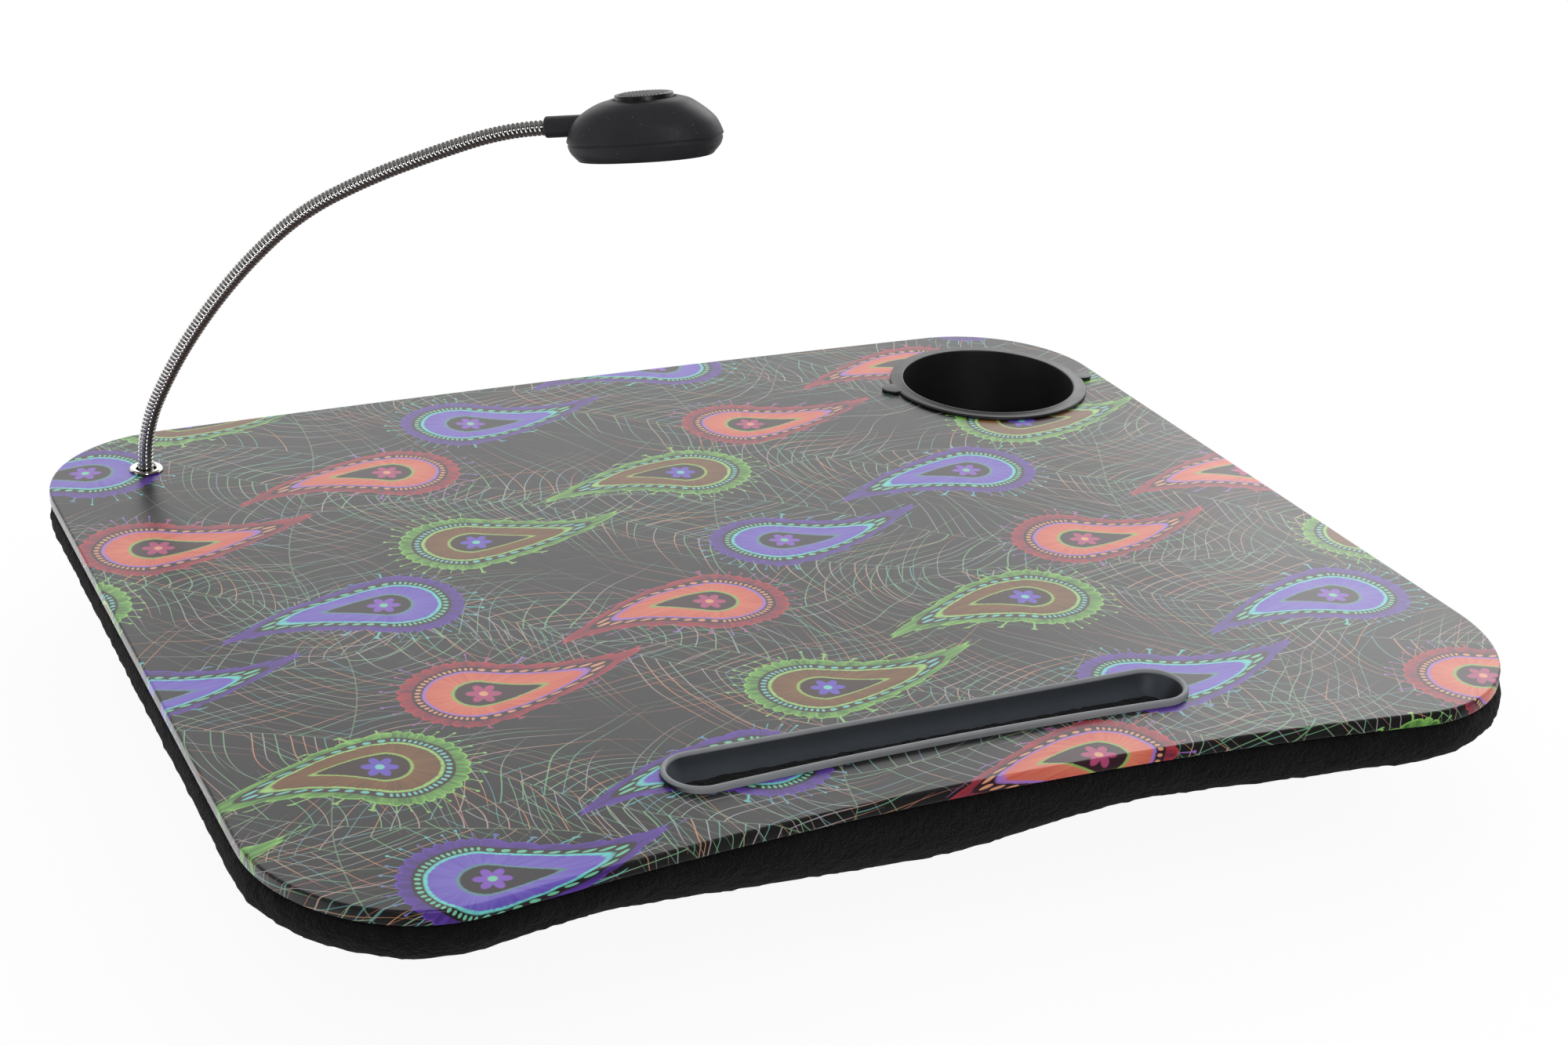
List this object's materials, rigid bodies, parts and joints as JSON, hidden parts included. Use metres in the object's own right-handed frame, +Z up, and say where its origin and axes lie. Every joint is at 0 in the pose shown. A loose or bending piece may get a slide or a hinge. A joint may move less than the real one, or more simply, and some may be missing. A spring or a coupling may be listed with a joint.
{
  "type": "cushioned lap tray with lamp",
  "caption": "Cushioned lap tray with a rounded board, lift-out cup, pen groove and a small battery lamp on a bendable wound neck.",
  "frame": {"origin": "on the surface under the tray, below the middle of the board's outline", "axes": "+X to the user's right along the long side, +Y away from the user, +Z up out of the board"},
  "size_m": [0.482, 0.4083, 0.2421],
  "materials": {
    "printed_film": "fibre board wrapped in satin printed film",
    "knit": "fine black stretch knit, matte",
    "beads": "loose foam beads",
    "insert_plastic": "satin rim, glossy trough",
    "nickel": "bright nickel plate",
    "cup_plastic": "matte black",
    "neck_metal": "bright wound wire",
    "plated_steel": "zinc plate",
    "lamp_plastic": "soft-touch black",
    "button_plastic": "satin black, ridged",
    "white_plastic": "white",
    "laminate": "green lacquer",
    "contact_brass": "stamped strip",
    "clear_plastic": "clear, polished",
    "mirror_plastic": "metallised",
    "led_resin": "clear resin over phosphor"
  },
  "bodies": {
    "tray": {"tray_board": "printed_film", "cushion_cover": "knit", "bead_fill": "beads", "pen_tray": "insert_plastic", "board_eyelet": "nickel", "eyelet_washer": "nickel"},
    "cup": {"cup_holder": "cup_plastic"},
    "neck_base": {"neck_root": "neck_metal", "neck_washer": "plated_steel", "neck_nut": "plated_steel"},
    "link_1": {"neck_link_1": "neck_metal"},
    "link_2": {"neck_link_2": "neck_metal"},
    "link_3": {"neck_link_3": "neck_metal"},
    "link_4": {"neck_link_4": "neck_metal"},
    "link_5": {"neck_link_5": "neck_metal"},
    "link_6": {"neck_link_6": "neck_metal"},
    "link_7": {"neck_link_7": "neck_metal"},
    "lamp": {"neck_link_8": "neck_metal", "lamp_sleeve": "lamp_plastic", "head_top_shell": "lamp_plastic", "head_bottom_shell": "lamp_plastic", "switch_housing": "lamp_plastic", "circuit_board": "laminate", "coin_cell_1": "plated_steel", "coin_cell_2": "plated_steel", "cell_contact": "contact_brass", "lamp_lens": "clear_plastic", "lamp_reflector": "mirror_plastic", "led_1": "led_resin", "led_2": "led_resin", "led_3": "led_resin", "led_4": "led_resin", "head_screw_1": "plated_steel", "head_screw_2": "plated_steel"},
    "button": {"push_button": "button_plastic", "switch_plunger": "white_plastic"},
    "cap": {"battery_cap": "lamp_plastic"}
  },
  "joints": [
    {"name": "cup_lift", "type": "slide", "parent": "tray", "child": "cup", "axis": [0, 0, 1], "range_m": [0, 0.06]},
    {"name": "neck_swivel", "type": "hinge", "parent": "tray", "child": "neck_base", "pos_m": [-0.1983, 0.1603, 0.0615], "axis": [0, 0, 1], "range_deg": [-75, 75]},
    {"name": "neck_bend_1", "type": "hinge", "parent": "neck_base", "child": "link_1", "pos_m": [-0.1983, 0.1603, 0.064], "axis": [0.5878, 0.809, 0], "range_deg": [-25, 25]},
    {"name": "neck_bend_2", "type": "hinge", "parent": "link_1", "child": "link_2", "pos_m": [-0.19302, 0.15646, 0.09381], "axis": [0.5878, 0.809, 0], "range_deg": [-25, 25]},
    {"name": "neck_bend_3", "type": "hinge", "parent": "link_2", "child": "link_3", "pos_m": [-0.18122, 0.14789, 0.12085], "axis": [0.5878, 0.809, 0], "range_deg": [-25, 25]},
    {"name": "neck_bend_4", "type": "hinge", "parent": "link_3", "child": "link_4", "pos_m": [-0.16688, 0.13747, 0.14596], "axis": [0.5878, 0.809, 0], "range_deg": [-25, 25]},
    {"name": "neck_bend_5", "type": "hinge", "parent": "link_4", "child": "link_5", "pos_m": [-0.15029, 0.12542, 0.16886], "axis": [0.5878, 0.809, 0], "range_deg": [-25, 25]},
    {"name": "neck_bend_6", "type": "hinge", "parent": "link_5", "child": "link_6", "pos_m": [-0.13071, 0.11119, 0.1877], "axis": [0.5878, 0.809, 0], "range_deg": [-25, 25]},
    {"name": "neck_bend_7", "type": "hinge", "parent": "link_6", "child": "link_7", "pos_m": [-0.10882, 0.09529, 0.20227], "axis": [0.5878, 0.809, 0], "range_deg": [-25, 25]},
    {"name": "neck_bend_8", "type": "hinge", "parent": "link_7", "child": "lamp", "pos_m": [-0.0861, 0.07878, 0.2148], "axis": [0.5878, 0.809, 0], "range_deg": [-25, 25]},
    {"name": "button_press", "type": "slide", "parent": "lamp", "child": "button", "axis": [0.0352, -0.1976, -0.9796], "range_m": [0, 0.0015], "stiffness_N_per_m": 500},
    {"name": "cap_turn", "type": "hinge", "parent": "lamp", "child": "cap", "pos_m": [-0.04141, 0.04528, 0.22088], "axis": [0.0352, -0.1976, -0.9796], "range_deg": [0, 90]}
  ]
}
